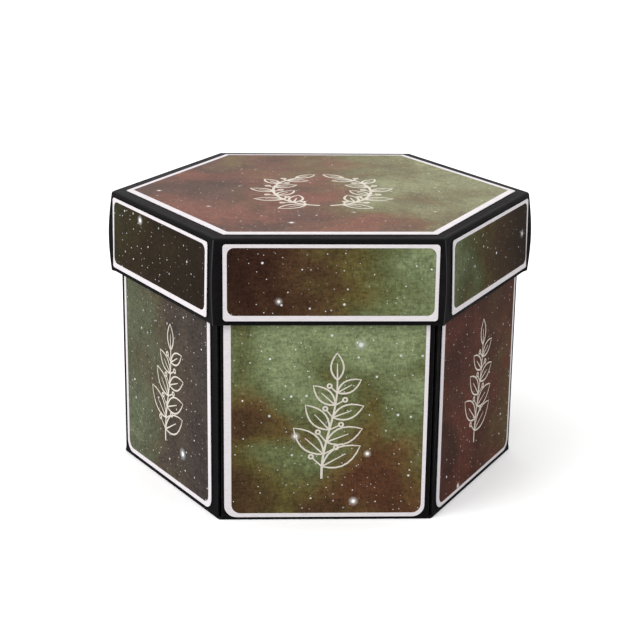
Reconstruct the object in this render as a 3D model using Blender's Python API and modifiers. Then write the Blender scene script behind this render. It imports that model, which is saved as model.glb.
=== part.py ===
"""Hexagonal explosion box: a lift-off lid over three nested rings of folding walls.

Each ring is a hexagonal base board with a wall on a fold line along every edge. When the lid is
lifted off, the walls fall outwards and lie flat, each ring's walls on top of the ring outside it.
Metres, +Z up, origin under the middle of the outer base. Side 1 faces -Y.
"""

import math

import bmesh
import bpy
from mathutils import Vector

# the closed box
SIDE_COUNT = 6
BOX_HEIGHT = 0.1200
BOX_CORNER_RADIUS = 0.0870
BOARD = 0.0008

# clearances
GLUE_GAP = 0.0003
SEAT_GAP = 0.0003
FOLD_GAP = 0.0003
WALL_END_GAP = 0.0005
STACK_CLEARANCE = 0.0006

# the lid
LID_BOARD = 0.0008
LID_SLIP_GAP = 0.00168
LID_SKIRT_HEIGHT = 0.0353
LID_FOLD_RADIUS = 0.0012
LID_CORNER_FLARE = 0.0013
LID_FOOT_FLARE = 0.0008
SKIRT_ROWS = 10
FOLD_STEPS = 4

# the printed cards on the outside
PRINT_THICKNESS = 0.00025
OUTER_PRINT_SIDE_MARGIN = 0.0025
OUTER_PRINT_FOOT = 0.0012
OUTER_PRINT_TOP_MARGIN = 0.0020
OUTER_PRINT_CORNER = 0.0050
LID_PRINT_SIDE_MARGIN = 0.0031
LID_PRINT_FOOT_MARGIN = 0.0019
LID_PRINT_TOP_MARGIN = 0.0022
LID_PRINT_CORNER = 0.0013
TOP_PRINT_MARGIN = 0.0057

# the walls and what they carry inside
WALL_TOP_CORNER = 0.0030
PAGE_THICKNESS = 0.00025
PAGE_SIDE_MARGIN = 0.0050
PAGE_FOOT_MARGIN = 0.0060
PAGE_TOP_MARGIN = 0.0060
PAGE_CORNER = 0.0040
CORNER_STEPS = 5

# the middle and inner rings
OUTER_RING_SPACE = 0.0062
MIDDLE_RING_SPACE = 0.0062
MIDDLE_WALL_DROP = 0.0050
INNER_WALL_DROP = 0.0050
PAD_MARGIN = 0.0120
CENTRE_CARD_MARGIN = 0.0060

# worked out from the values above
HALF_SIDE_ANGLE = math.pi / SIDE_COUNT
PRINT_BUILD = GLUE_GAP + PRINT_THICKNESS
PAGE_BUILD = GLUE_GAP + PAGE_THICKNESS

COLLECTION_NAME = "explosion_box"


def clear_scene():
    for thing in list(bpy.data.objects):
        bpy.data.objects.remove(thing, do_unlink=True)


def finish(name, colour, roughness):
    """A paper or board finish."""
    material = bpy.data.materials.new(name)
    material.use_nodes = True
    shader = material.node_tree.nodes["Principled BSDF"]
    shader.inputs["Base Color"].default_value = (*colour, 1)
    shader.inputs["Roughness"].default_value = roughness
    shader.inputs["Metallic"].default_value = 0
    material.diffuse_color = (*colour, 1)
    return material


def board_finish():
    return finish("black_board", (0.016, 0.014, 0.014), 0.5)


def print_finish():
    return finish("printed_card", (0.17, 0.15, 0.09), 0.45)


def page_finish():
    return finish("photo_page", (0.72, 0.68, 0.62), 0.7)


def foam_finish():
    return finish("pad_foam", (0.62, 0.61, 0.6), 0.9)


def side_angle(side):
    """Direction in which a side faces, seen from above. Side 1 faces the front, -Y."""
    return -math.pi / 2 + (side - 1) * 2 * HALF_SIDE_ANGLE


def corner_distance(apothem):
    """Distance from the middle of a hexagon to its corners, given the distance to its sides."""
    return apothem / math.cos(HALF_SIDE_ANGLE)


def side_length(apothem):
    return 2 * apothem * math.tan(HALF_SIDE_ANGLE)


def hexagon_points(apothem):
    """Corner points of a level hexagon with one side square to -Y."""
    reach = corner_distance(apothem)
    angles = [side_angle(side) + HALF_SIDE_ANGLE for side in range(1, SIDE_COUNT + 1)]
    return [(reach * math.cos(a), reach * math.sin(a)) for a in angles]


def rounded_rectangle_points(width, low, high, foot_corner, top_corner):
    """Outline of an upright sheet, counter-clockwise, with a quarter circle at each corner."""
    half = width / 2
    corners = [
        (half, low, -1, 1, foot_corner, -math.pi / 2),
        (half, high, -1, -1, top_corner, 0),
        (-half, high, 1, -1, top_corner, math.pi / 2),
        (-half, low, 1, 1, foot_corner, math.pi),
    ]
    points = []
    for x, y, inward_x, inward_y, radius, start in corners:
        steps = CORNER_STEPS if radius > 0 else 0
        for step in range(steps + 1):
            angle = start + (math.pi / 2) * step / max(steps, 1)
            points.append(
                (
                    x + inward_x * radius + radius * math.cos(angle),
                    y + inward_y * radius + radius * math.sin(angle),
                )
            )
    return points


def sheet(name, points, thickness, material, collection):
    """A flat sheet cut to an outline, lying in its own XY plane with its thickness centred there."""
    curve = bpy.data.curves.new(name, "CURVE")
    curve.dimensions = "2D"
    curve.fill_mode = "BOTH"
    curve.extrude = thickness / 2
    spline = curve.splines.new("POLY")
    spline.points.add(len(points) - 1)
    for spot, (x, y) in zip(spline.points, points):
        spot.co = (x, y, 0, 1)
    spline.use_cyclic_u = True
    curve.materials.append(material)
    piece = bpy.data.objects.new(name, curve)
    collection.objects.link(piece)
    return piece


def level_hexagon(name, apothem, low, thickness, material, collection):
    """A hexagonal board or card lying level, with its underside at a height."""
    piece = sheet(name, hexagon_points(apothem), thickness, material, collection)
    piece.location.z = low + thickness / 2
    return piece


def fold_line(name, side, distance, height, collection):
    """An empty on a fold line: X along the fold, Y up the closed wall, Z outwards."""
    empty = bpy.data.objects.new(name, None)
    angle = side_angle(side)
    empty.location = (distance * math.cos(angle), distance * math.sin(angle), height)
    empty.rotation_euler = (math.pi / 2, 0, angle + math.pi / 2)
    collection.objects.link(empty)
    return empty


def stand_on(fold, piece, behind):
    """Hang a sheet on a fold line, its middle plane a distance behind the fold."""
    piece.parent = fold
    piece.location = (0, 0, -behind)


class Ring:
    """Sizes of one ring: its wall face, its floor, its wall's top and what stands on its outside."""

    def __init__(self, name, apothem, floor, wall_top, outside_build):
        self.name = name
        self.apothem = apothem
        self.floor = floor
        self.wall_foot = BOARD + FOLD_GAP
        self.wall_head = wall_top - floor
        self.outside_build = outside_build
        self.fold_distance = apothem + outside_build
        self.wall_width = side_length(apothem - BOARD) - 2 * WALL_END_GAP
        self.page_face = apothem - BOARD - PAGE_BUILD


def outer_ring():
    apothem = BOX_CORNER_RADIUS * math.cos(HALF_SIDE_ANGLE)
    wall_top = BOX_HEIGHT - LID_BOARD - SEAT_GAP
    return Ring("outer", apothem, 0, wall_top, PRINT_BUILD)


def next_ring(name, around, space, drop):
    """A ring inside another, its floor raised so that its opened walls lie on the other's."""
    opened_stack = around.outside_build + BOARD + PAGE_BUILD + STACK_CLEARANCE
    wall_top = around.floor + around.wall_head - drop
    return Ring(name, around.page_face - space, around.floor + opened_stack, wall_top, 0)


def build_ring(ring, board, page, collection):
    """Base board, walls and photo pages of one ring. Returns the fold lines by side."""
    level_hexagon(ring.name + "_base", ring.apothem, ring.floor, BOARD, board, collection)
    page_width = ring.wall_width - 2 * PAGE_SIDE_MARGIN
    page_foot = ring.wall_foot + PAGE_FOOT_MARGIN
    page_head = ring.wall_head - PAGE_TOP_MARGIN
    folds = {}
    for side in range(1, SIDE_COUNT + 1):
        fold = fold_line(f"{ring.name}_fold_{side}", side, ring.fold_distance, ring.floor, collection)
        wall_outline = rounded_rectangle_points(
            ring.wall_width, ring.wall_foot, ring.wall_head, 0, WALL_TOP_CORNER
        )
        wall = sheet(f"{ring.name}_wall_{side}", wall_outline, BOARD, board, collection)
        stand_on(fold, wall, ring.outside_build + BOARD / 2)
        page_outline = rounded_rectangle_points(
            page_width, page_foot, page_head, PAGE_CORNER, PAGE_CORNER
        )
        leaf = sheet(f"{ring.name}_photo_page_{side}", page_outline, PAGE_THICKNESS, page, collection)
        stand_on(fold, leaf, ring.outside_build + BOARD + GLUE_GAP + PAGE_THICKNESS / 2)
        folds[side] = fold
    return folds


def build_outer_prints(ring, folds, material, collection):
    width = side_length(ring.apothem) - 2 * OUTER_PRINT_SIDE_MARGIN
    head = ring.wall_head - OUTER_PRINT_TOP_MARGIN
    outline = rounded_rectangle_points(
        width, OUTER_PRINT_FOOT, head, OUTER_PRINT_CORNER, OUTER_PRINT_CORNER
    )
    for side, fold in folds.items():
        card = sheet(f"outer_print_{side}", outline, PRINT_THICKNESS, material, collection)
        stand_on(fold, card, PRINT_THICKNESS / 2)


def build_pad(name, below, above, material, collection):
    """The foam pad that fills the space between two bases and holds them together."""
    low = below.floor + BOARD + SEAT_GAP
    thickness = above.floor - SEAT_GAP - low
    level_hexagon(name, above.apothem - PAD_MARGIN, low, thickness, material, collection)


def lid_section(apothem, flare):
    """One level section of the lid: flat sides, rounded folds at the corners, each fold pushed
    out by the flare. The board bends out only between the side prints and the fold."""
    half_flat = side_length(apothem) / 2 - LID_PRINT_SIDE_MARGIN
    fold_centre = corner_distance(apothem - LID_FOLD_RADIUS)
    points = []
    for side in range(1, SIDE_COUNT + 1):
        facing = side_angle(side)
        outward = Vector((math.cos(facing), math.sin(facing)))
        along = Vector((-math.sin(facing), math.cos(facing)))
        points.append(outward * apothem - along * half_flat)
        points.append(outward * apothem + along * half_flat)
        corner = facing + HALF_SIDE_ANGLE
        to_corner = Vector((math.cos(corner), math.sin(corner)))
        for step in range(FOLD_STEPS + 1):
            angle = facing + 2 * HALF_SIDE_ANGLE * step / FOLD_STEPS
            arc = LID_FOLD_RADIUS * Vector((math.cos(angle), math.sin(angle)))
            points.append(to_corner * (fold_centre + flare) + arc)
    return points


def lid_rows(apothem):
    """Height and section of each row of the lid, from the skirt's lower edge over the top fold.
    The skirt's corners bulge at half height and stay a little open at the foot."""
    foot = BOX_HEIGHT - LID_SKIRT_HEIGHT
    shoulder = BOX_HEIGHT - LID_FOLD_RADIUS
    rows = []
    for row in range(SKIRT_ROWS + 1):
        share = row / SKIRT_ROWS
        flare = LID_CORNER_FLARE * math.sin(math.pi * share) + LID_FOOT_FLARE * (1 - share)
        rows.append((foot + share * (shoulder - foot), lid_section(apothem, flare)))
    for step in range(1, FOLD_STEPS + 1):
        angle = (math.pi / 2) * step / FOLD_STEPS
        inset = LID_FOLD_RADIUS * (1 - math.cos(angle))
        rows.append((shoulder + LID_FOLD_RADIUS * math.sin(angle), lid_section(apothem - inset, 0)))
    return rows


def build_lid_shell(apothem, material, collection):
    """The lid's folded board: a lofted open surface, closed over the top, given its thickness."""
    mesh = bpy.data.meshes.new("lid_shell")
    bm = bmesh.new()
    loops = []
    for height, section in lid_rows(apothem):
        ring = [bm.verts.new((p.x, p.y, height)) for p in section]
        loops.append([bm.edges.new((a, b)) for a, b in zip(ring, ring[1:] + ring[:1])])
    for lower, upper in zip(loops, loops[1:]):
        bmesh.ops.bridge_loops(bm, edges=lower + upper)
    bmesh.ops.contextual_create(bm, geom=loops[-1])
    bmesh.ops.recalc_face_normals(bm, faces=bm.faces)
    top = max(bm.faces, key=lambda face: face.calc_center_median().z)
    if top.normal.z < 0:
        bmesh.ops.reverse_faces(bm, faces=bm.faces)
    bm.to_mesh(mesh)
    bm.free()
    mesh.materials.append(material)
    mesh.shade_smooth()
    mesh.set_sharp_from_angle(angle=HALF_SIDE_ANGLE)
    lid = bpy.data.objects.new("lid_shell", mesh)
    collection.objects.link(lid)
    thick = lid.modifiers.new("board thickness", "SOLIDIFY")
    thick.thickness = LID_BOARD
    thick.offset = -1
    thick.use_even_offset = True
    return lid


def build_lid_prints(apothem, material, collection):
    """The hexagonal print on the lid's top and a low print on each side of its skirt."""
    level_hexagon(
        "lid_top_print",
        apothem - TOP_PRINT_MARGIN,
        BOX_HEIGHT + GLUE_GAP,
        PRINT_THICKNESS,
        material,
        collection,
    )
    width = side_length(apothem) - 2 * LID_PRINT_SIDE_MARGIN
    foot = LID_PRINT_FOOT_MARGIN
    head = LID_SKIRT_HEIGHT - LID_PRINT_TOP_MARGIN
    outline = rounded_rectangle_points(width, foot, head, LID_PRINT_CORNER, LID_PRINT_CORNER)
    skirt_foot = BOX_HEIGHT - LID_SKIRT_HEIGHT
    for side in range(1, SIDE_COUNT + 1):
        guide = fold_line(f"lid_side_{side}", side, apothem + PRINT_BUILD, skirt_foot, collection)
        card = sheet(f"lid_side_print_{side}", outline, PRINT_THICKNESS, material, collection)
        stand_on(guide, card, PRINT_THICKNESS / 2)


def build_box(collection):
    board = board_finish()
    printed = print_finish()
    page = page_finish()
    foam = foam_finish()
    outer = outer_ring()
    middle = next_ring("middle", outer, OUTER_RING_SPACE, MIDDLE_WALL_DROP)
    inner = next_ring("inner", middle, MIDDLE_RING_SPACE, INNER_WALL_DROP)
    outer_folds = build_ring(outer, board, page, collection)
    build_ring(middle, board, page, collection)
    build_ring(inner, board, page, collection)
    build_outer_prints(outer, outer_folds, printed, collection)
    build_pad("middle_mounting_pad", outer, middle, foam, collection)
    build_pad("inner_mounting_pad", middle, inner, foam, collection)
    level_hexagon(
        "centre_card",
        inner.page_face - CENTRE_CARD_MARGIN,
        inner.floor + BOARD + GLUE_GAP,
        PAGE_THICKNESS,
        page,
        collection,
    )
    lid_apothem = outer.fold_distance + LID_SLIP_GAP + LID_BOARD
    build_lid_shell(lid_apothem, board, collection)
    build_lid_prints(lid_apothem, printed, collection)


def main():
    clear_scene()
    collection = bpy.data.collections.new(COLLECTION_NAME)
    bpy.context.scene.collection.children.link(collection)
    build_box(collection)


main()
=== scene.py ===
import math

import bpy
from mathutils import Matrix, Vector


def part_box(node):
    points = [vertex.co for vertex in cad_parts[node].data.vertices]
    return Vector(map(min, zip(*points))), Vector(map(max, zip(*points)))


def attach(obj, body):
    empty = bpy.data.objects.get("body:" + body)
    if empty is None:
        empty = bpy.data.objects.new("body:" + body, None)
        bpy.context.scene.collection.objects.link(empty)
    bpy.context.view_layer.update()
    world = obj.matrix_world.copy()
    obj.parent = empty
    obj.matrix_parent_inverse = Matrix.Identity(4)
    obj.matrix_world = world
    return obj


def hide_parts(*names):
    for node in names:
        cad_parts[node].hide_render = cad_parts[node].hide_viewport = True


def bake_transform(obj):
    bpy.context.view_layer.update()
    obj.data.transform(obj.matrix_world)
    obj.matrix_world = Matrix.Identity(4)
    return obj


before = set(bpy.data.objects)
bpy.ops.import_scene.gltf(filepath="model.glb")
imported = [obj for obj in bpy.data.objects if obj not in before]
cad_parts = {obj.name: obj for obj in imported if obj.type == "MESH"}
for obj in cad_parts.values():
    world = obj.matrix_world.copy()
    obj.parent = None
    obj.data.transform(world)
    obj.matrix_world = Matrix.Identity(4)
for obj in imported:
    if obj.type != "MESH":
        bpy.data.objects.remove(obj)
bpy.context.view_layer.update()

# The explosion box: a hexagonal lift-off lid of black board over three nested rings of folding
# walls, with a bordered print glued on every outer face. Metres, +Z up, side 1 faces -Y.


# Camera: the photographer stood in front of side 1, a little to its left and above it, with a
# long lens, so that the lid's top shows as a flat hexagon and the two next sides are foreshortened.
FRAME_PIXELS = 640
FOCAL_PIXELS = 1677.8
SENSOR_MILLIMETRES = 36
CAMERA_DISTANCE = 0.7423
CAMERA_AZIMUTH = math.radians(-2.515)
CAMERA_ELEVATION = math.radians(17.885)
CAMERA_ROLL = math.radians(0.751)
CAMERA_AIM = Vector((0.00007, 0, 0.06164))
CAMERA_NEAR = 0.01
CAMERA_FAR = 100

level = Vector((math.sin(CAMERA_AZIMUTH), -math.cos(CAMERA_AZIMUTH), 0))
back = level * math.cos(CAMERA_ELEVATION) + Vector((0, 0, math.sin(CAMERA_ELEVATION)))
right = Vector((math.cos(CAMERA_AZIMUTH), math.sin(CAMERA_AZIMUTH), 0))
up = back.cross(right)
rolled_right = right * math.cos(CAMERA_ROLL) + up * math.sin(CAMERA_ROLL)
rolled_up = back.cross(rolled_right)
bpy.ops.object.camera_add()
camera = bpy.context.object
camera.name = "photo_camera"
axes = Matrix((rolled_right, rolled_up, back)).transposed().to_4x4()
camera.matrix_world = Matrix.Translation(CAMERA_AIM + back * CAMERA_DISTANCE) @ axes
camera.data.sensor_width = SENSOR_MILLIMETRES
camera.data.lens = FOCAL_PIXELS / FRAME_PIXELS * SENSOR_MILLIMETRES
camera.data.clip_start = CAMERA_NEAR
camera.data.clip_end = CAMERA_FAR
bpy.context.scene.camera = camera


# Studio: a white sweep, flat under the box and curving up far behind it, in even light from a
# white tent, with one broad soft light low at the front left. The sweep looks white to the
# camera, but throws back less than half of its light, so the box is darker under its lid.
SWEEP_WIDTH = 40.0
SWEEP_DEPTH = 24.0
SWEEP_HEIGHT = 9.0
SWEEP_BEND = 6.0
SWEEP_BEND_STEPS = 16
SWEEP_COLOUR = (0.94, 0.94, 0.94, 1)
SWEEP_BOUNCE = (0.45, 0.45, 0.45, 1)
SWEEP_ROUGHNESS = 0.9
SWEEP_GLOSS = 0.1
SWEEP_CLOSE = 0.01
TENT_COLOUR = (1.0, 1.0, 1.0, 1)
TENT_STRENGTH = 1.32
KEY_DIRECTION = (0.83, 0.40, -0.38)
KEY_STRENGTH = 1.90
KEY_SPREAD = math.radians(50)


def pick_nothing():
    """Leave nothing selected, out of edit mode."""
    if bpy.context.object and bpy.context.object.mode != "OBJECT":
        bpy.ops.object.mode_set(mode="OBJECT")
    bpy.ops.object.select_all(action="DESELECT")


def pick_only(piece):
    pick_nothing()
    piece.select_set(True)
    bpy.context.view_layer.objects.active = piece


def pick_parts(piece, wanted, kind="FACE"):
    """Enter edit mode on a piece with only the faces, edges or vertices that the test wants."""
    pick_only(piece)
    bpy.ops.object.mode_set(mode="EDIT")
    bpy.ops.mesh.select_mode(type=kind)
    bpy.ops.mesh.select_all(action="DESELECT")
    bpy.ops.object.mode_set(mode="OBJECT")
    mesh = piece.data
    if kind == "FACE":
        for polygon in mesh.polygons:
            polygon.select = wanted(polygon)
    elif kind == "EDGE":
        for edge in mesh.edges:
            ends = [mesh.vertices[index].co for index in edge.vertices]
            edge.select = wanted(*ends)
    else:
        for vertex in mesh.vertices:
            vertex.select = wanted(vertex.co)
    bpy.ops.object.mode_set(mode="EDIT")


def settle(piece):
    """Put a piece's place, turn and scale into its mesh."""
    pick_only(piece)
    bpy.ops.object.transform_apply(location=True, rotation=True, scale=True)
    return piece


def new_tree(name):
    material = bpy.data.materials.new(name)
    material.use_nodes = True
    return material, material.node_tree, material.node_tree.nodes["Principled BSDF"]


def feed(tree, socket, value):
    """Link an output into a socket, or set the socket to a constant."""
    if isinstance(value, bpy.types.NodeSocket):
        tree.links.new(value, socket)
    else:
        socket.default_value = value


def place_node(tree, kind, settings=None, **sockets):
    """Add a node, set its options, and set or link its input sockets by name."""
    node = tree.nodes.new(kind)
    for option, value in (settings or {}).items():
        setattr(node, option, value)
    for label, value in sockets.items():
        feed(tree, node.inputs[label.replace("_", " ")], value)
    return node


def mix_colours(tree, factor, first, second, blend="MIX"):
    node = place_node(tree, "ShaderNodeMix", {"data_type": "RGBA", "blend_type": blend})
    for socket, value in zip((node.inputs[0], node.inputs[6], node.inputs[7]), (factor, first, second)):
        feed(tree, socket, value)
    return node.outputs[2]


pick_nothing()
bpy.ops.mesh.primitive_plane_add(size=1, location=(0, SWEEP_DEPTH / 4, 0))
sweep = bpy.context.object
sweep.name = "studio_sweep"
sweep.scale = (SWEEP_WIDTH, SWEEP_DEPTH, 1)
settle(sweep)
rear = max(vertex.co.y for vertex in sweep.data.vertices) - SWEEP_CLOSE
pick_parts(sweep, lambda a, b: min(a.y, b.y) > rear, "EDGE")
bpy.ops.mesh.extrude_region_move(TRANSFORM_OT_translate={"value": (0, 0, SWEEP_HEIGHT)})
pick_parts(sweep, lambda a, b: min(a.y, b.y) > rear and max(a.z, b.z) < SWEEP_CLOSE, "EDGE")
bpy.ops.mesh.bevel(offset=SWEEP_BEND, segments=SWEEP_BEND_STEPS, affect="EDGES")
bpy.ops.object.mode_set(mode="OBJECT")
bpy.ops.object.shade_smooth()
sweep_paint, tree, shader = new_tree("studio_sweep")
rays = place_node(tree, "ShaderNodeLightPath")
sweep_tone = mix_colours(tree, rays.outputs["Is Camera Ray"], SWEEP_BOUNCE, SWEEP_COLOUR)
feed(tree, shader.inputs["Base Color"], sweep_tone)
shader.inputs["Roughness"].default_value = SWEEP_ROUGHNESS
shader.inputs["Specular IOR Level"].default_value = SWEEP_GLOSS
sweep.data.materials.append(sweep_paint)

tent = bpy.data.worlds.new("white_tent")
tent.use_nodes = True
tent.node_tree.nodes["Background"].inputs["Color"].default_value = TENT_COLOUR
tent.node_tree.nodes["Background"].inputs["Strength"].default_value = TENT_STRENGTH
bpy.context.scene.world = tent
bpy.context.scene.view_settings.view_transform = "Standard"

bpy.ops.object.light_add(type="SUN")
key_light = bpy.context.object
key_light.name = "soft_key"
key_light.rotation_euler = Vector(KEY_DIRECTION).to_track_quat("-Z", "Y").to_euler()
key_light.data.energy = KEY_STRENGTH
key_light.data.angle = KEY_SPREAD


# Black board: heavy card covered in matt black paper. Its fibres show as a fine uneven grain, the
# cut edges and folds are paler, partly rubbed and partly a painted highlight, and what faces up
# is paler, partly faint dust and partly a painted sheen.
SIDES = range(1, 7)
BOARD_COLOUR = (0.0048, 0.0043, 0.0048, 1)
# Paler colour of edges and folds: partly rubbed wear, partly a painted highlight.
BOARD_RUBBED_AND_LIT = (0.026, 0.024, 0.026, 1)
# Painted highlight along the lid's upright corner folds.
CORNER_HIGHLIGHT = (0.045, 0.042, 0.045, 1)
# Paler colour on what faces up: partly faint dust, partly a painted sheen.
BOARD_DUST_AND_SHEEN = (0.016, 0.0145, 0.0155, 1)
BOARD_TONES = (0.72, 1.3)
BOARD_ROUGHNESS = (0.46, 0.62)
BOARD_GLOSS = 0.03
BOARD_EDGE_ROUND = 0.0003
BOARD_FIBRES = 1900
BOARD_GRAIN = 0.5
BOARD_GRAIN_DEPTH = 0.00003
FIBRE_STRETCH = (0.35, 0.35, 1.3)
FIBRE_DETAIL = 3.0
FIBRE_ROUGHNESS = 0.6
CLOUD_SCALE = 90.0
CLOUD_DETAIL = 3.0
CLOUD_ROUGHNESS = 0.5
NOISE_SPREAD = (0.3, 0.7)
BEVEL_SAMPLES = 4
EDGE_LIKENESS = (0.995, 0.86)
WEAR_REACH = 0.0005
WEAR_SCALE = 240.0
WEAR_DETAIL = 4.0
WEAR_PATCHES = (0.35, 0.68, 0.25, 1)
# Slopes that are painted paler: partly dust, partly a painted sheen.
DUST_AND_SHEEN_SLOPES = (0.50, 0.97)
DUST_AND_SHEEN_PATCHES = (0.3, 0.6, 0.5, 1)
CORNER_COSINES = (-0.2, 0.9)
CORNER_SLOPES = (0.3, 0.7, 1, 0)


def new_group(name, inputs, outputs):
    """A shader node group with sockets of these names and kinds, and its input and output nodes."""
    group = bpy.data.node_groups.new(name, "ShaderNodeTree")
    for way, sockets in (("INPUT", inputs), ("OUTPUT", outputs)):
        for label, kind in sockets.items():
            group.interface.new_socket(name=label, in_out=way, socket_type=f"NodeSocket{kind}")
    return group, group.nodes.new("NodeGroupInput"), group.nodes.new("NodeGroupOutput")


def use_group(tree, group, **sockets):
    return place_node(tree, "ShaderNodeGroup", {"node_tree": group}, **sockets)


def calculate(tree, operation, *values):
    node = place_node(tree, "ShaderNodeMath", {"operation": operation})
    for socket, value in zip(node.inputs, values):
        feed(tree, socket, value)
    return node.outputs["Value"]


def calculate_vector(tree, operation, *values):
    node = place_node(tree, "ShaderNodeVectorMath", {"operation": operation})
    for socket, value in zip(node.inputs, values):
        feed(tree, socket, value)
    return node.outputs["Value" if operation == "DOT_PRODUCT" else "Vector"]


def span(tree, value, low, high, start=0, end=1, soft=True):
    """Map a value from the range low to high onto start to end, held at its ends."""
    kind = "SMOOTHSTEP" if soft else "LINEAR"
    node = place_node(
        tree, "ShaderNodeMapRange", {"interpolation_type": kind},
        Value=value, From_Min=low, From_Max=high, To_Min=start, To_Max=end,
    )
    return node.outputs["Result"]


paper_fibre, came_in, goes_out = new_group(
    "paper_fibre", {"Vector": "Vector", "Scale": "Float"}, {"Tone": "Float", "Cloud": "Float"}
)
long_way = calculate_vector(paper_fibre, "MULTIPLY", came_in.outputs["Vector"], FIBRE_STRETCH)
fibres = place_node(
    paper_fibre, "ShaderNodeTexNoise",
    Vector=long_way, Scale=came_in.outputs["Scale"], Detail=FIBRE_DETAIL, Roughness=FIBRE_ROUGHNESS,
)
clouds = place_node(
    paper_fibre, "ShaderNodeTexNoise",
    Vector=came_in.outputs["Vector"], Scale=CLOUD_SCALE, Detail=CLOUD_DETAIL, Roughness=CLOUD_ROUGHNESS,
)
paper_fibre.links.new(fibres.outputs["Fac"], goes_out.inputs["Tone"])
paper_fibre.links.new(clouds.outputs["Fac"], goes_out.inputs["Cloud"])

# Edge mask: cut edges and folds painted paler, partly rubbed wear and partly a painted highlight.
edge_wear_and_highlight, came_in, goes_out = new_group(
    "edge_wear_and_highlight", {"Vector": "Vector", "Reach": "Float"}, {"Mask": "Float"}
)
rounded = place_node(
    edge_wear_and_highlight, "ShaderNodeBevel", {"samples": BEVEL_SAMPLES}, Radius=came_in.outputs["Reach"]
)
flat = place_node(edge_wear_and_highlight, "ShaderNodeNewGeometry")
likeness = calculate_vector(
    edge_wear_and_highlight, "DOT_PRODUCT", rounded.outputs["Normal"], flat.outputs["True Normal"]
)
patches = place_node(
    edge_wear_and_highlight, "ShaderNodeTexNoise",
    Vector=came_in.outputs["Vector"], Scale=WEAR_SCALE, Detail=WEAR_DETAIL,
)
near_edge = span(edge_wear_and_highlight, likeness, *EDGE_LIKENESS)
rubbed = span(edge_wear_and_highlight, patches.outputs["Fac"], *WEAR_PATCHES)
edge_wear_and_highlight.links.new(calculate(edge_wear_and_highlight, "MULTIPLY", near_edge, rubbed), goes_out.inputs["Mask"])


def corner_mask(tree):
    """White on the upright corner folds, which face between two sides of the hexagon."""
    faces = place_node(tree, "ShaderNodeNewGeometry").outputs["Normal"]
    turned = place_node(tree, "ShaderNodeSeparateXYZ", Vector=faces)
    compass = calculate(tree, "ARCTAN2", turned.outputs["Y"], turned.outputs["X"])
    sixfold = calculate(tree, "COSINE", calculate(tree, "MULTIPLY", compass, len(SIDES)))
    upright = span(tree, calculate(tree, "ABSOLUTE", turned.outputs["Z"]), *CORNER_SLOPES)
    return calculate(tree, "MULTIPLY", span(tree, sixfold, *CORNER_COSINES), upright)


def board_material(name, corner_highlight=0.0):
    """Black board. Its upright corner folds can carry a painted highlight, a paler line."""
    material, tree, shader = new_tree(name)
    where = place_node(tree, "ShaderNodeTexCoord").outputs["Object"]
    fibre = use_group(tree, paper_fibre, Vector=where, Scale=BOARD_FIBRES)
    wear_and_highlight = use_group(tree, edge_wear_and_highlight, Vector=where, Reach=WEAR_REACH)
    tone = span(tree, fibre.outputs["Tone"], *NOISE_SPREAD, *BOARD_TONES, soft=False)
    plain = mix_colours(tree, 1.0, BOARD_COLOUR, tone, "MULTIPLY")
    faces = place_node(tree, "ShaderNodeNewGeometry").outputs["True Normal"]
    # What faces up is painted paler: partly faint dust, partly a painted sheen.
    upward = span(tree, calculate_vector(tree, "DOT_PRODUCT", faces, (0, 0, 1)), *DUST_AND_SHEEN_SLOPES)
    dust_and_sheen_share = calculate(tree, "MULTIPLY", upward, span(tree, fibre.outputs["Cloud"], *DUST_AND_SHEEN_PATCHES))
    plain = mix_colours(tree, dust_and_sheen_share, plain, BOARD_DUST_AND_SHEEN)
    # Edges and folds painted paler: partly wear, partly a painted highlight.
    plain = mix_colours(tree, wear_and_highlight.outputs["Mask"], plain, BOARD_RUBBED_AND_LIT)
    # Painted highlight along the upright corner folds.
    if corner_highlight:
        highlighted = calculate(tree, "MULTIPLY", corner_mask(tree), corner_highlight)
        plain = mix_colours(tree, highlighted, plain, CORNER_HIGHLIGHT)
    feed(tree, shader.inputs["Base Color"], plain)
    rough = span(tree, fibre.outputs["Cloud"], *NOISE_SPREAD, *BOARD_ROUGHNESS, soft=False)
    feed(tree, shader.inputs["Roughness"], rough)
    shader.inputs["Specular IOR Level"].default_value = BOARD_GLOSS
    softened = place_node(tree, "ShaderNodeBevel", {"samples": BEVEL_SAMPLES}, Radius=BOARD_EDGE_ROUND)
    grain = place_node(
        tree, "ShaderNodeBump", Strength=BOARD_GRAIN, Distance=BOARD_GRAIN_DEPTH,
        Height=fibre.outputs["Tone"], Normal=softened.outputs["Normal"],
    )
    feed(tree, shader.inputs["Normal"], grain.outputs["Normal"])
    return material


def dress(node, material):
    """Give a CAD node its finish."""
    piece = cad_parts[node]
    piece.data.materials.clear()
    piece.data.materials.append(material)


black_board = board_material("black_board")
for ring in ("outer", "middle", "inner"):
    for side in SIDES:
        dress(f"{ring}_wall_{side}", black_board)


# Base boards: the three hexagons that the walls fold up from, the same board, with the corners
# of the outer one worn round where the box is pushed over a table.
BASE_CORNER_WEAR = 0.0004
BASE_CORNER_STEPS = 4
MERGE_DISTANCE = 0.00001
FLAT_ANGLE = math.radians(0.5)


def own_copy(piece, name):
    """A copy of a piece, with a mesh of its own."""
    copy = piece.copy()
    copy.data = piece.data.copy()
    copy.name = name
    bpy.context.scene.collection.objects.link(copy)
    return copy


def copy_of_node(node, name):
    """A merged copy of a CAD node in black board, to be shaped further."""
    copy = own_copy(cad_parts[node], name)
    copy.parent = None
    for key in list(copy.keys()):
        del copy[key]
    pick_parts(copy, lambda co: True, "VERT")
    bpy.ops.mesh.remove_doubles(threshold=MERGE_DISTANCE)
    bpy.ops.mesh.dissolve_limited(angle_limit=FLAT_ANGLE)
    bpy.ops.object.mode_set(mode="OBJECT")
    copy.data.materials.clear()
    copy.data.materials.append(black_board)
    return copy


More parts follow.
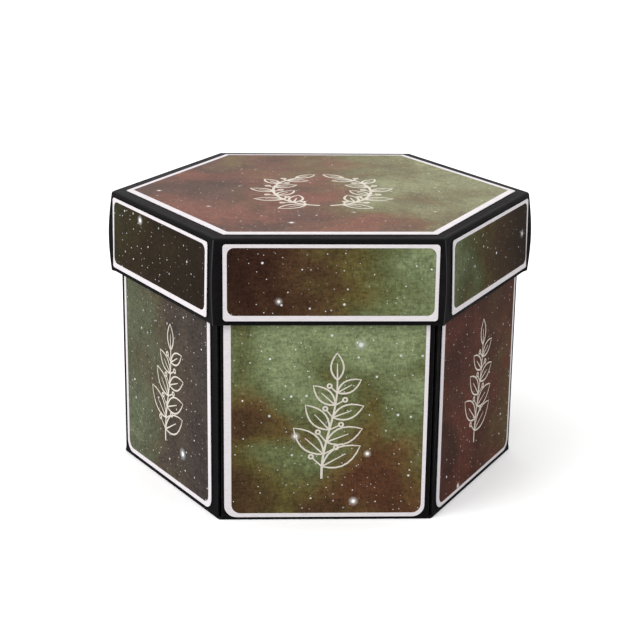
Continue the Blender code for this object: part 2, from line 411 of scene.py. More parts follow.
for ring in ("middle", "inner"):
    dress(f"{ring}_base", black_board)
base_low, base_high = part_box("outer_base")
worn_base = copy_of_node("outer_base", "outer_base_board")
pick_parts(worn_base, lambda a, b: abs(a.z - b.z) > (base_high.z - base_low.z) / 2, "EDGE")
bpy.ops.mesh.bevel(offset=BASE_CORNER_WEAR, segments=BASE_CORNER_STEPS, affect="EDGES")
bpy.ops.object.mode_set(mode="OBJECT")
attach(worn_base, "base")
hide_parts("outer_base")


# Creases: each wall hangs on its base by the board's own black paper skin, which runs over the
# fold as one thin strip.
SIDE_TURN = math.tau / len(SIDES)
CREASE_SKIN = 0.00012
CREASE_BACK = 0.00004
CREASE_HOLD = 0.0011
CREASE_BEND_ROWS = 7
CREASE_EDGE_SHARE = 0.05


def copy_to_side(piece, side, name):
    """A copy of a piece made at the front, with its own mesh, turned to another side."""
    copy = own_copy(piece, name)
    copy.rotation_euler.z = (side - 1) * SIDE_TURN
    return settle(copy)


def finish_modifiers(piece):
    pick_only(piece)
    for modifier in list(piece.modifiers):
        bpy.ops.object.modifier_apply(modifier=modifier.name)


def drop(piece):
    bpy.data.objects.remove(piece, do_unlink=True)


for ring in ("outer", "middle", "inner"):
    wall_low, wall_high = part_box(f"{ring}_wall_1")
    base_low, base_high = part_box(f"{ring}_base")
    bend = wall_low.z - base_high.z
    bpy.ops.mesh.primitive_plane_add(size=1, rotation=(math.pi / 2, 0, 0))
    skin = bpy.context.object
    skin.scale = (wall_high.x - wall_low.x, bend, 1)
    skin.location = (0, wall_low.y - CREASE_BACK - CREASE_SKIN, base_high.z + bend / 2)
    settle(skin)
    pick_parts(skin, lambda co: True, "VERT")
    bpy.ops.mesh.subdivide(number_cuts=CREASE_BEND_ROWS)
    bpy.ops.object.mode_set(mode="OBJECT")
    up_the_wall = (wall_low.z, CREASE_HOLD)
    down_the_base = (base_high.z, base_low.z - base_high.z + CREASE_SKIN)
    near = bend * CREASE_EDGE_SHARE
    for height, reach in (up_the_wall, down_the_base):
        pick_parts(skin, lambda a, b: max(abs(a.z - height), abs(b.z - height)) < near, "EDGE")
        bpy.ops.mesh.extrude_region_move(TRANSFORM_OT_translate={"value": (0, 0, reach)})
        bpy.ops.object.mode_set(mode="OBJECT")
    thick = skin.modifiers.new("skin", "SOLIDIFY")
    thick.thickness = CREASE_SKIN
    thick.offset = -1
    finish_modifiers(skin)
    skin.data.materials.append(black_board)
    for side in SIDES:
        crease = copy_to_side(skin, side, f"{ring}_crease_{side}")
        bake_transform(crease)
    drop(skin)


# Mounting pads: two hexagons of grey double-sided foam between the stacked bases, pressed a
# little so that their cut sides draw in.
FOAM_COLOUR = (0.55, 0.54, 0.52, 1)
# Darker colour in the foam's pits: painted shade in the recesses.
FOAM_PIT_SHADE = (0.33, 0.32, 0.31, 1)
FOAM_CELLS = 1400
FOAM_PITS = (0.1, 0.7)
FOAM_PIT_DEPTH = 0.0002
FOAM_ROUGHNESS = (0.8, 0.95)
PAD_CORNER_STEPS = 4
PAD_WAIST = 0.985
PAD_SMOOTH_ANGLE = math.radians(35)

foam, tree, shader = new_tree("pad_foam")
where = place_node(tree, "ShaderNodeTexCoord").outputs["Object"]
cells = place_node(tree, "ShaderNodeTexVoronoi", Vector=where, Scale=FOAM_CELLS)
pits = span(tree, cells.outputs["Distance"], *FOAM_PITS)
# The pits are painted darker, as painted shade in them.
feed(tree, shader.inputs["Base Color"], mix_colours(tree, pits, FOAM_PIT_SHADE, FOAM_COLOUR))
feed(tree, shader.inputs["Roughness"], span(tree, pits, 0, 1, *FOAM_ROUGHNESS))
pitted = place_node(tree, "ShaderNodeBump", Distance=FOAM_PIT_DEPTH, Height=pits)
feed(tree, shader.inputs["Normal"], pitted.outputs["Normal"])

for ring in ("middle", "inner"):
    pad_low, pad_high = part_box(f"{ring}_mounting_pad")
    height = pad_high.z - pad_low.z
    waist = (0, 0, (pad_low.z + pad_high.z) / 2)
    bpy.ops.mesh.primitive_cylinder_add(
        vertices=len(SIDES), radius=pad_high.x, depth=height, rotation=(0, 0, SIDE_TURN / 2), location=waist
    )
    pad = settle(bpy.context.object)
    pad.name = f"{ring}_foam_pad"
    pick_parts(pad, lambda a, b: abs(a.z - b.z) > height / 2, "EDGE")
    bpy.ops.mesh.bevel(offset=height, segments=PAD_CORNER_STEPS, affect="EDGES")
    bpy.ops.mesh.select_all(action="SELECT")
    bpy.ops.mesh.bisect(plane_co=waist, plane_no=(0, 0, 1))
    bpy.ops.transform.resize(value=(PAD_WAIST, PAD_WAIST, 1), center_override=waist)
    bpy.ops.object.mode_set(mode="OBJECT")
    pad.data.materials.append(foam)
    bpy.ops.object.shade_smooth_by_angle(angle=PAD_SMOOTH_ANGLE)
    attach(pad, "base")
    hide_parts(f"{ring}_mounting_pad")


# Photo pages: leaves of warm white uncoated card glued inside every wall, each with a thin line
# printed round it, where the giver's photographs go. The centre card lies on the innermost base.
PAGE_COLOUR = (0.62, 0.585, 0.52, 1)
PAGE_SHADE = (0.54, 0.495, 0.42, 1)
PAGE_INK = (0.085, 0.085, 0.040, 1)
PAGE_FIBRES = 1300
PAGE_COVER = (0.35, 0.62)
PAGE_INK_COVER = (*NOISE_SPREAD, 0.0, 0.25)
PAGE_ROUGHNESS = (0.7, 0.85)
PAGE_INK_ROUGHNESS = (0.55, 0.7)
PAGE_GRAIN = (0.5, 0.00004)
PAGE_CORNER = 0.0040
PAGE_LINE_INSET = 0.0032
PAGE_LINE = 0.0005
CARD_CORNER_STEPS = 8
PLAIN_GLOSS = 0.5


def paper_material(name, scale, cover, under, over, roughness, gloss=PLAIN_GLOSS, grain=None):
    """Paper, or ink on paper: one colour over another through the fibres, with their fine relief.

    The grain is the strength and the depth of that relief.
    """
    material, tree, shader = new_tree(name)
    where = place_node(tree, "ShaderNodeTexCoord").outputs["Object"]
    fibre = use_group(tree, paper_fibre, Vector=where, Scale=scale)
    shown = span(tree, fibre.outputs["Tone"], *cover)
    feed(tree, shader.inputs["Base Color"], mix_colours(tree, shown, under, over))
    rough = span(tree, fibre.outputs["Cloud"], *NOISE_SPREAD, *roughness)
    feed(tree, shader.inputs["Roughness"], rough)
    shader.inputs["Specular IOR Level"].default_value = gloss
    if grain:
        strength, depth = grain
        relief = place_node(
            tree, "ShaderNodeBump", Strength=strength, Distance=depth, Height=fibre.outputs["Tone"]
        )
        feed(tree, shader.inputs["Normal"], relief.outputs["Normal"])
    return material


def add_page_line(leaf):
    """Inset a thin ruled line into the one big face of a flat leaf."""
    pick_parts(leaf, lambda polygon: True)
    bpy.ops.mesh.inset(thickness=PAGE_LINE_INSET)
    bpy.ops.mesh.inset(thickness=PAGE_LINE)
    bpy.ops.object.mode_set(mode="OBJECT")
    inside = max(leaf.data.polygons, key=lambda polygon: polygon.area)
    rim = {tuple(sorted(edge)) for edge in inside.edge_keys}
    for polygon in leaf.data.polygons:
        if polygon.index != inside.index and any(tuple(sorted(key)) in rim for key in polygon.edge_keys):
            polygon.material_index = 1


def give_thickness(leaf, thickness):
    """Thicken a sheet behind its face, with the bare paper of slot 0 on its back and edges."""
    thick = leaf.modifiers.new("paper", "SOLIDIFY")
    thick.thickness = thickness
    thick.offset = -1
    thick.material_offset = -1
    thick.material_offset_rim = -1
    finish_modifiers(leaf)


def flat_card(name, width, height, corner):
    """A flat card with rounded corners in its own XY plane, its face to +Z."""
    bpy.ops.mesh.primitive_plane_add(size=1)
    card = bpy.context.object
    card.name = name
    card.scale = (width, height, 1)
    settle(card)
    pick_parts(card, lambda co: True, "VERT")
    bpy.ops.mesh.bevel(offset=corner, segments=CARD_CORNER_STEPS, affect="VERTICES")
    bpy.ops.object.mode_set(mode="OBJECT")
    return card


def flat_hexagon(name, radius, height):
    """A level hexagon with a side to the front."""
    bpy.ops.mesh.primitive_circle_add(
        vertices=len(SIDES), radius=radius, fill_type="NGON", rotation=(0, 0, SIDE_TURN / 2),
        location=(0, 0, height),
    )
    hexagon = settle(bpy.context.object)
    hexagon.name = name
    return hexagon


page_card = paper_material(
    "photo_page", PAGE_FIBRES, PAGE_COVER, PAGE_SHADE, PAGE_COLOUR, PAGE_ROUGHNESS, grain=PAGE_GRAIN
)
page_ink = paper_material(
    "page_line_ink", PAGE_FIBRES, PAGE_INK_COVER, PAGE_INK, PAGE_COLOUR, PAGE_INK_ROUGHNESS
)
for ring in ("outer", "middle", "inner"):
    page_low, page_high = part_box(f"{ring}_photo_page_1")
    size = page_high - page_low
    leaf = flat_card("page_blank", size.x, size.z, PAGE_CORNER)
    leaf.data.materials.append(page_card)
    leaf.data.materials.append(page_ink)
    add_page_line(leaf)
    give_thickness(leaf, size.y)
    leaf.rotation_euler = (math.pi / 2, 0, math.pi)
    leaf.location = (0, page_high.y, (page_low.z + page_high.z) / 2)
    settle(leaf)
    for side in SIDES:
        page = copy_to_side(leaf, side, f"{ring}_page_{side}")
        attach(page, f"{ring}_petal_{side}")
        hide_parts(f"{ring}_photo_page_{side}")
    drop(leaf)

card_low, card_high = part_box("centre_card")
centre = flat_hexagon("centre_page", card_high.x, card_high.z)
centre.data.materials.append(page_card)
centre.data.materials.append(page_ink)
add_page_line(centre)
give_thickness(centre, card_high.z - card_low.z)
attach(centre, "base")
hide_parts("centre_card")


# Outer prints: heavy matt art paper, cut with rounded corners and glued on the outer walls. A
# pale paper border is left round a mottled print in greens, browns and rust with pale flecks.
# Cut and glued by hand, each card is a little out, so the values for it go by side.
BORDER_PAPER = (0.635, 0.597, 0.615, 1)
BORDER_SHADE = (0.580, 0.548, 0.570, 1)
BORDER_FIBRES = 1100
BORDER_COVER = (0.3, 0.6)
BORDER_GRAIN = (0.3, 0.00002)
PRINT_GLOSS = 0.03
PRINT_ROUGHNESS = (0.46, 0.60)
PRINT_GRAIN = 0.35
PRINT_GRAIN_DEPTH = 0.00003
INK_HEIGHT = 0.00003
OUTER_PRINT_CORNER = 0.0050
OUTER_AREA_CORNER = 0.0037
OUTER_BORDER_SIDE = 0.0022
OUTER_BORDER_FOOT = 0.0017
OUTER_BORDER_TOP = 0.0024
OUTER_AREA_SHIFT = {1: 0.0007, 2: 0.0007, 3: 0.0004, 4: -0.0006, 5: 0.0002, 6: -0.0003}
OUTER_AREA_DROP = {1: 0, 2: 0.0002, 3: 0.0003, 4: 0, 5: 0.0002, 6: -0.0003}
OUTER_GLUED_ASIDE = {1: -0.0004, 2: 0.0002, 3: 0.0004, 4: -0.0005, 5: 0.0003, 6: -0.0010}
OUTER_GLUED_UP = {1: 0.0001, 2: 0.0009, 3: 0.0004, 4: 0.0001, 5: 0.0003, 6: 0.0009}
OUTER_CUT_WIDTH = {1: 1, 2: 0.966, 3: 0.978, 4: 0.990, 5: 0.970, 6: 0.942}

border_paper = paper_material(
    "border_paper", BORDER_FIBRES, BORDER_COVER, BORDER_SHADE, BORDER_PAPER, PRINT_ROUGHNESS,
    PRINT_GLOSS, BORDER_GRAIN,
)

# Fleck layer: round pale specks scattered one to a cell, some cells left empty, each with its own
# size and strength.
SMALL_SPECK_BIAS = 2.5
SPECK_CORE = 0.35
SPECK_STRENGTH = (0.3, 1.0)

speck_layer, came_in, goes_out = new_group(
    "speck_layer",
    {
        "Vector": "Vector", "Spacing": "Float", "Least": "Float", "Most": "Float",
        "Bare share": "Float", "Cover": "Float",
    },
    {"Mask": "Float", "Hue": "Float"},
)
per_metre = calculate(speck_layer, "DIVIDE", 1.0, came_in.outputs["Spacing"])
cells = place_node(
    speck_layer, "ShaderNodeTexVoronoi", {"voronoi_dimensions": "2D"},
    Vector=came_in.outputs["Vector"], Scale=per_metre,
)
draws = place_node(speck_layer, "ShaderNodeSeparateColor", Color=cells.outputs["Color"])
size_draw = calculate(speck_layer, "POWER", draws.outputs["Green"], SMALL_SPECK_BIAS)
radius = span(
    speck_layer, size_draw, 0, 1, came_in.outputs["Least"], came_in.outputs["Most"], soft=False
)
away = calculate(speck_layer, "MULTIPLY", cells.outputs["Distance"], came_in.outputs["Spacing"])
core_radius = calculate(speck_layer, "MULTIPLY", radius, SPECK_CORE)
disc = span(speck_layer, away, core_radius, radius, 1, 0)
there = calculate(speck_layer, "GREATER_THAN", draws.outputs["Red"], came_in.outputs["Bare share"])
strength = span(speck_layer, draws.outputs["Blue"], 0, 1, *SPECK_STRENGTH, soft=False)
speck = calculate(speck_layer, "MULTIPLY", calculate(speck_layer, "MULTIPLY", disc, there), strength)
covered = calculate(speck_layer, "MULTIPLY", speck, came_in.outputs["Cover"])
speck_layer.links.new(covered, goes_out.inputs["Mask"])
speck_layer.links.new(draws.outputs["Green"], goes_out.inputs["Hue"])

# Mottled wash: soft drifts from deep brown through olive to light green, with rust worked in, the
# fine grain of a woven canvas, and the flecks over it. A noise here is its scale, detail and seed.
DEEP_BROWN = (0.022, 0.011, 0.007, 1)
UMBER = (0.055, 0.032, 0.015, 1)
OLIVE = (0.084, 0.068, 0.022, 1)
MOSS = (0.094, 0.108, 0.045, 1)
LIGHT_GREEN = (0.165, 0.198, 0.100, 1)
RUST = (0.120, 0.038, 0.022, 1)
SLATE = (0.055, 0.052, 0.050, 1)
RED_BROWN = (0.053, 0.022, 0.019, 1)
DARK_GREEN = (0.012, 0.014, 0.007, 1)
NEAR_BLACK = (0.015, 0.011, 0.006, 1)
# A pale clay cast for the top's print: partly its colour, partly a painted sheen.
CLAY_AND_SHEEN = (0.345, 0.195, 0.160, 1)
FLECK_WARM = (0.86, 0.80, 0.70, 1)
FLECK_COOL = (0.80, 0.83, 0.87, 1)
WASH_STOPS = ((0.0, DEEP_BROWN), (0.30, UMBER), (0.50, OLIVE), (0.72, MOSS), (1.0, LIGHT_GREEN))
WASH_NOISE_ROUGHNESS = 0.55
WASH_NOISE_DISTORTION = 0.6
DRIFT_NOISE = (24.0, 3.0, 0.0)
DRIFT_REACH = (0.25, 0.75, -0.44, 0.44)
RUST_NOISE = (21.0, 4.0, 7.3)
RUST_PATCHES = (0.40, 0.62)
RUST_OFF_GREEN = (0.42, 0.80, 1, 0)
SMOKE_NOISE = (70.0, 4.0, 3.1)
SMOKE_TONES = (0.84, 1.15)
WEFT_NOISE = (1150.0, 2.0, 1.7)
WEFT_STRETCH = (0.40, 1.0, 1.0)
WARP_NOISE = (1150.0, 2.0, 5.9)
WARP_STRETCH = (1.0, 0.55, 1.0)
WEAVE_TONES = (0.36, 0.64, 0.62, 1.42)
WEAVE_SPREAD = (0.35, 0.65)
# spacing, least and most radius, share of the cells left bare, cover
FLECKS = (
    (0.0085, 0.00032, 0.00075, 0.45, 0.95),
    (0.0034, 0.00016, 0.00040, 0.58, 0.8),
    (0.030, 0.0018, 0.0036, 0.70, 0.35),
    (0.030, 0.0008, 0.0015, 0.70, 1.6),
)

mottled_wash, came_in, goes_out = new_group(
    "mottled_wash",
    {
        "Vector": "Vector", "Drift": "Float", "Lean": "Vector", "Balance": "Float", "Rust": "Float",
        "Cast": "Color", "Cast share": "Float", "Flecks": "Float",
    },
    {"Color": "Color", "Weave": "Float"},
)
spot = came_in.outputs["Vector"]
drift = came_in.outputs["Drift"]


def drifting_noise(noise, stretch=(1.0, 1.0, 1.0)):
    scale, detail, seed = noise
    return place_node(
        mottled_wash, "ShaderNodeTexNoise", {"noise_dimensions": "4D"},
        Vector=calculate_vector(mottled_wash, "MULTIPLY", spot, stretch),
        W=calculate(mottled_wash, "ADD", drift, seed), Scale=scale, Detail=detail,
        Roughness=WASH_NOISE_ROUGHNESS, Distortion=WASH_NOISE_DISTORTION,
    ).outputs["Fac"]


lean = calculate_vector(mottled_wash, "DOT_PRODUCT", spot, came_in.outputs["Lean"])
drifts = span(mottled_wash, drifting_noise(DRIFT_NOISE), *DRIFT_REACH, soft=False)
tint = calculate(mottled_wash, "ADD", lean, drifts)
tint = calculate(mottled_wash, "ADD", tint, came_in.outputs["Balance"])
ramp = place_node(mottled_wash, "ShaderNodeValToRGB", Fac=tint)
while len(ramp.color_ramp.elements) < len(WASH_STOPS):
    ramp.color_ramp.elements.new(0.5)
for element, (place, colour) in zip(ramp.color_ramp.elements, WASH_STOPS):
    element.position = place
    element.color = colour
rust_patches = span(mottled_wash, drifting_noise(RUST_NOISE), *RUST_PATCHES)
off_green = span(mottled_wash, tint, *RUST_OFF_GREEN)
rusty = calculate(mottled_wash, "MULTIPLY", rust_patches, off_green)
rusty = calculate(mottled_wash, "MULTIPLY", rusty, came_in.outputs["Rust"])
wash = mix_colours(mottled_wash, rusty, ramp.outputs["Color"], RUST)
wash = mix_colours(mottled_wash, came_in.outputs["Cast share"], wash, came_in.outputs["Cast"])
smoke = span(mottled_wash, drifting_noise(SMOKE_NOISE), *NOISE_SPREAD, *SMOKE_TONES, soft=False)
wash = mix_colours(mottled_wash, 1.0, wash, smoke, "MULTIPLY")
weft = drifting_noise(WEFT_NOISE, WEFT_STRETCH)
warp = drifting_noise(WARP_NOISE, WARP_STRETCH)
weave = calculate(mottled_wash, "MULTIPLY", calculate(mottled_wash, "ADD", weft, warp), 0.5)
woven = span(mottled_wash, weave, *WEAVE_TONES, soft=False)
wash = mix_colours(mottled_wash, 1.0, wash, woven, "MULTIPLY")
aside = place_node(mottled_wash, "ShaderNodeCombineXYZ", X=drift, Y=drift)
shifted = calculate_vector(mottled_wash, "ADD", spot, aside.outputs["Vector"])
for spacing, least, most, bare_share, cover in FLECKS:
    layer = use_group(
        mottled_wash, speck_layer, Vector=shifted, Spacing=spacing, Least=least, Most=most,
        Bare_share=bare_share, Cover=cover,
    )
    pale = mix_colours(mottled_wash, layer.outputs["Hue"], FLECK_WARM, FLECK_COOL)
    shown = calculate(mottled_wash, "MULTIPLY", layer.outputs["Mask"], came_in.outputs["Flecks"])
    wash = mix_colours(mottled_wash, shown, wash, pale)
mottled_wash.links.new(wash, goes_out.inputs["Color"])
mottled_wash.links.new(weave, goes_out.inputs["Weave"])


def wash_material(name, drift, lean, balance, rust, cast, cast_share, flecks=1.0, gloss=PRINT_GLOSS):
    """Printed area of one card: its own stretch of the mottled wash.

    The lean is how fast the wash turns from brown to green across and up the card, per metre.
    """
    material, tree, shader = new_tree(name)
    where = place_node(tree, "ShaderNodeUVMap", {"uv_map": "card_metres"}).outputs["UV"]
    printed = use_group(
        tree, mottled_wash, Vector=where, Drift=drift, Lean=lean, Balance=balance, Rust=rust,
        Cast=cast, Cast_share=cast_share, Flecks=flecks,
    )
    feed(tree, shader.inputs["Base Color"], printed.outputs["Color"])
    rough = span(tree, printed.outputs["Weave"], *WEAVE_SPREAD, *PRINT_ROUGHNESS, soft=False)
    feed(tree, shader.inputs["Roughness"], rough)
    shader.inputs["Specular IOR Level"].default_value = gloss
    relief = place_node(
        tree, "ShaderNodeBump", Strength=PRINT_GRAIN, Distance=PRINT_GRAIN_DEPTH,
        Height=printed.outputs["Weave"],
    )
    feed(tree, shader.inputs["Normal"], relief.outputs["Normal"])
    return material


def bordered_card(name, width, height, corner, area_width, area_low, area_high, area_corner):
    """A card in its own XY plane, with a paper border in slot 0 round a printed area in slot 1."""
    card = flat_card(name, width, height, corner)
    pick_parts(card, lambda polygon: True)
    bpy.ops.mesh.delete(type="ONLY_FACE")
    bpy.ops.mesh.primitive_plane_add(size=1, location=(0, (area_low + area_high) / 2, 0))
    bpy.ops.transform.resize(value=(area_width, area_high - area_low, 1))
    bpy.ops.mesh.select_mode(type="VERT")
    bpy.ops.mesh.bevel(offset=area_corner, segments=CARD_CORNER_STEPS, affect="VERTICES")
    bpy.ops.mesh.select_mode(type="EDGE")
    bpy.ops.mesh.select_all(action="DESELECT")
    bpy.ops.mesh.select_non_manifold(extend=False, use_wire=True, use_boundary=True)
    bpy.ops.mesh.bridge_edge_loops()
    bpy.ops.mesh.select_all(action="SELECT")
    bpy.ops.mesh.normals_make_consistent(inside=False)
    bpy.ops.object.mode_set(mode="OBJECT")
    if card.data.polygons[0].normal.z < 0:
        card.data.flip_normals()
    area = max(card.data.polygons, key=lambda polygon: polygon.area)
    area.material_index = 1
    return card


def map_in_metres(card):
    """Lay the card's own UV map over its face, one unit to a metre from the card's middle."""
    for layer in list(card.data.uv_layers):
        card.data.uv_layers.remove(layer)
    layer = card.data.uv_layers.new(name="card_metres")
    for loop in card.data.loops:
        spot_on_card = card.data.vertices[loop.vertex_index].co
        layer.data[loop.index].uv = (spot_on_card.x, spot_on_card.y)


def move_area(card, aside, up):
    """Move the printed area of a flat card within its border."""
    pick_parts(card, lambda polygon: polygon.material_index == 1)
    bpy.ops.transform.translate(value=(aside, up, 0))
    bpy.ops.object.mode_set(mode="OBJECT")


def finish_card(blank, name, cut_width, area_move, wash, thickness):
    """A copy of a blank, cut to a share of its width, with its printed area moved and its thickness."""
    card = own_copy(blank, name)
    card.scale.x = cut_width
    settle(card)
    move_area(card, *area_move)
    card.data.materials.append(border_paper)
    card.data.materials.append(wash)
    give_thickness(card, thickness)
    return card


def stand_on_side(card, side, aside, distance, height):
    """Stand a flat card upright against a side, its face outwards at a distance from the middle."""
    card.rotation_euler = (math.pi / 2, 0, (side - 1) * SIDE_TURN)
    card.location = Matrix.Rotation((side - 1) * SIDE_TURN, 3, "Z") @ Vector((aside, -distance, height))
    return settle(card)


# drift, lean, balance of brown and green, share of rust, colour cast and its share
OUTER_WASHES = {
    1: (0.37, (3.5, 6.8, 0), 0.665, 0.35, UMBER, 0.0),
    2: (2.23, (7.5, -1.0, 0), 0.20, 1.0, RED_BROWN, 0.50),
    3: (3.13, (2.5, 3.0, 0), 0.55, 0.55, UMBER, 0.1),
    4: (4.77, (-2.0, 4.5, 0), 0.60, 0.55, UMBER, 0.0),
    5: (6.29, (1.5, -3.0, 0), 0.45, 0.60, SLATE, 0.3),
    6: (8.53, (-11.0, 1.0, 0), 0.42, 0.10, SLATE, 0.52),
}
print_low, print_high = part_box("outer_print_1")
print_size = print_high - print_low
print_face = -print_low.y - INK_HEIGHT
print_middle = (print_low.z + print_high.z) / 2
outer_blank = bordered_card(
    "outer_print_blank", print_size.x, print_size.z, OUTER_PRINT_CORNER,
    print_size.x - 2 * OUTER_BORDER_SIDE,
    -print_size.z / 2 + OUTER_BORDER_FOOT, print_size.z / 2 - OUTER_BORDER_TOP, OUTER_AREA_CORNER,
)
map_in_metres(outer_blank)
for side in SIDES:
    wash = wash_material(f"outer_wash_{side}", *OUTER_WASHES[side])
    card = finish_card(
        outer_blank, f"outer_card_{side}", OUTER_CUT_WIDTH[side],
        (OUTER_AREA_SHIFT[side], -OUTER_AREA_DROP[side]), wash, print_size.y - INK_HEIGHT,
    )
    stand_on_side(card, side, OUTER_GLUED_ASIDE[side], print_face, print_middle + OUTER_GLUED_UP[side])
    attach(card, f"outer_petal_{side}")
    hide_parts(f"outer_print_{side}")
drop(outer_blank)


# Ink sprigs: a leafy branch in one ivory ink, printed over the wash of each outer print. The ink
# stands up a little from the paper, in pen strokes that thin towards their ends.
IVORY_INK = (0.575, 0.53, 0.465, 1)
IVORY_THIN = (0.455, 0.42, 0.365, 1)
INK_FIBRES = 1400
INK_COVER = (0.30, 0.55)
INK_ROUGHNESS = (0.45, 0.6)
INK_GRAIN = (0.3, 0.00002)
INK_HALF_WIDTH = 0.00042
INK_MERGE = 0.000001
INK_SMOOTH_ANGLE = math.radians(30)
STROKE_ROUNDING = 1
STROKE_STEPS = 7
STEM_KNOTS = 8
STEM_WIDTH = 1.15
STEM_THINNING = 0.045
PATH_STEP = 0.01
LEAF_BREADTH = 0.30
LEAF_BELLY = 0.30
LEAF_POINT = 0.38
LEAF_WIDTHS = (0.95, 0.65)
RIB_LENGTH = 0.62
RIB_WIDTHS = (0.85, 0.4)
TIP_LEAF = 1.15
BERRY_RADIUS = 0.00085
BERRY_REACH = 0.30
BERRY_SPREAD = 0.9
BERRY_KNOTS = 4
BERRY_WIDTH = 0.85
STALK_WIDTHS = (0.8, 0.6)
SPRIG_STEM = 0.0425
SPRIG_BEND = 3.4
SPRIG_SWAY = 0.0030
SPRIG_BELOW = 0.62
SPRIG_LEAVES = 7
SPRIG_LONG_LEAF = 0.0190
SPRIG_SHORT_LEAF = 0.0100
SPRIG_SPREAD = math.radians(56)
SPRIG_ASIDE = 0.0015
SPRIG_DROP = 0.0145


def ink_stroke(places, widths, closed=False):
    """One pen stroke, flat in the drawing's XY plane, as a round line through its places."""
    bpy.ops.curve.primitive_bezier_curve_add()
    stroke = bpy.context.object
    stroke.data.bevel_depth = INK_HALF_WIDTH
    stroke.data.bevel_resolution = STROKE_ROUNDING
    stroke.data.resolution_u = STROKE_STEPS
    stroke.data.use_fill_caps = True
    spline = stroke.data.splines[0]
    spline.bezier_points.add(len(places) - 2)
    spline.use_cyclic_u = closed
    for knot, place, width in zip(spline.bezier_points, places, widths):
        knot.co = (place.x, place.y, 0)
        knot.radius = width
        knot.handle_left_type = "AUTO"
        knot.handle_right_type = "AUTO"
    return stroke


def heading(angle):
    return Vector((math.cos(angle), math.sin(angle)))


def ink_leaf(base, angle, length):
    """An almond leaf drawn round in one closed stroke, with a short rib from its base."""
    along = heading(angle) * length
    aside = heading(angle + math.pi / 2) * length * LEAF_BREADTH
    tip = base + along
    edge = ink_stroke([base, tip], LEAF_WIDTHS, closed=True)
    root, point = edge.data.splines[0].bezier_points
    for knot in (root, point):
        knot.handle_left_type = "FREE"
        knot.handle_right_type = "FREE"
    root.handle_right = (base + along * LEAF_BELLY + aside).to_3d()
    point.handle_left = (tip - along * LEAF_POINT + aside).to_3d()
    point.handle_right = (tip - along * LEAF_POINT - aside).to_3d()
    root.handle_left = (base + along * LEAF_BELLY - aside).to_3d()
    return [edge, ink_stroke([base, base + along * RIB_LENGTH], RIB_WIDTHS)]


def ink_berry(base, angle, length):
    """A small ring on a short stalk."""
    middle = base + heading(angle) * (length + BERRY_RADIUS)
    ring = [middle + heading(math.tau * knot / BERRY_KNOTS) * BERRY_RADIUS for knot in range(BERRY_KNOTS)]
    return [
        ink_stroke([base, base + heading(angle) * length], STALK_WIDTHS),
        ink_stroke(ring, [BERRY_WIDTH] * BERRY_KNOTS, closed=True),
    ]


def ink_branch(path, leaves, longest, shortest, spread):
    """A stem along a path, its leaves left and right in turn, berries across from them."""
    knots = range(STEM_KNOTS + 1)
    stem = [path(knot / STEM_KNOTS) for knot in knots]
    strokes = [ink_stroke(stem, [STEM_WIDTH - STEM_THINNING * knot for knot in knots])]
    for number in range(leaves):
        share = (number + 1) / (leaves + 1)
        ahead = path(share + PATH_STEP) - path(share - PATH_STEP)
        way = math.atan2(ahead.y, ahead.x)
        turn = spread if number % 2 else -spread
        length = longest + (shortest - longest) * share
        strokes += ink_leaf(path(share), way + turn, length)
        strokes += ink_berry(path(share), way - turn * BERRY_SPREAD, length * BERRY_REACH)
    ahead = path(1.0) - path(1.0 - 2 * PATH_STEP)
    return strokes + ink_leaf(path(1.0), math.atan2(ahead.y, ahead.x), shortest * TIP_LEAF)


def press_flat(strokes, name):
    """Join pen strokes into one piece and flatten it to the height of the ink."""
    pick_nothing()
    for stroke in strokes:
        stroke.select_set(True)
    bpy.context.view_layer.objects.active = strokes[0]
    bpy.ops.object.convert(target="MESH")
    bpy.ops.object.join()
    drawing = bpy.context.object
    drawing.name = name
    pick_parts(drawing, lambda co: True, "VERT")
    bpy.ops.mesh.remove_doubles(threshold=INK_MERGE)
    bpy.ops.mesh.normals_make_consistent(inside=False)
    bpy.ops.object.mode_set(mode="OBJECT")
    drawing.scale.z = INK_HEIGHT / (2 * INK_HALF_WIDTH * STEM_WIDTH)
    drawing.location.z = INK_HEIGHT / 2
    settle(drawing)
    drawing.data.materials.clear()
    drawing.data.materials.append(ivory_ink)
    bpy.ops.object.shade_smooth_by_angle(angle=INK_SMOOTH_ANGLE)
    return drawing


def sprig_path(share):
    return Vector((SPRIG_SWAY * math.sin(SPRIG_BEND * (share - 0.5)), SPRIG_STEM * (share - SPRIG_BELOW)))


ivory_ink = paper_material(
    "ivory_ink", INK_FIBRES, INK_COVER, IVORY_THIN, IVORY_INK, INK_ROUGHNESS, PRINT_GLOSS, INK_GRAIN
)
sprig_strokes = ink_branch(sprig_path, SPRIG_LEAVES, SPRIG_LONG_LEAF, SPRIG_SHORT_LEAF, SPRIG_SPREAD)
sprig = press_flat(sprig_strokes, "sprig_drawing")
for side in SIDES:
    ink = own_copy(sprig, f"outer_sprig_{side}")
    height = print_middle + OUTER_GLUED_UP[side] - SPRIG_DROP
    stand_on_side(ink, side, OUTER_GLUED_ASIDE[side] + SPRIG_ASIDE, print_face, height)
    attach(ink, f"outer_petal_{side}")
drop(sprig)


# Lid: one sheet of the same black board, creased and folded down on six sides. The crease shows
# as a shallow groove just inside the top's edge, and a paler highlight is painted along the
# upright corners.
CREASE_INSET = 0.0007
CREASE_WIDTH = 0.00035
CREASE_DEPTH = 0.00014
LEVEL = 0.99
LID_SMOOTH_ANGLE = math.radians(30)
# Strength of the painted highlight on the lid's upright corners.
LID_CORNER_HIGHLIGHT = 0.8

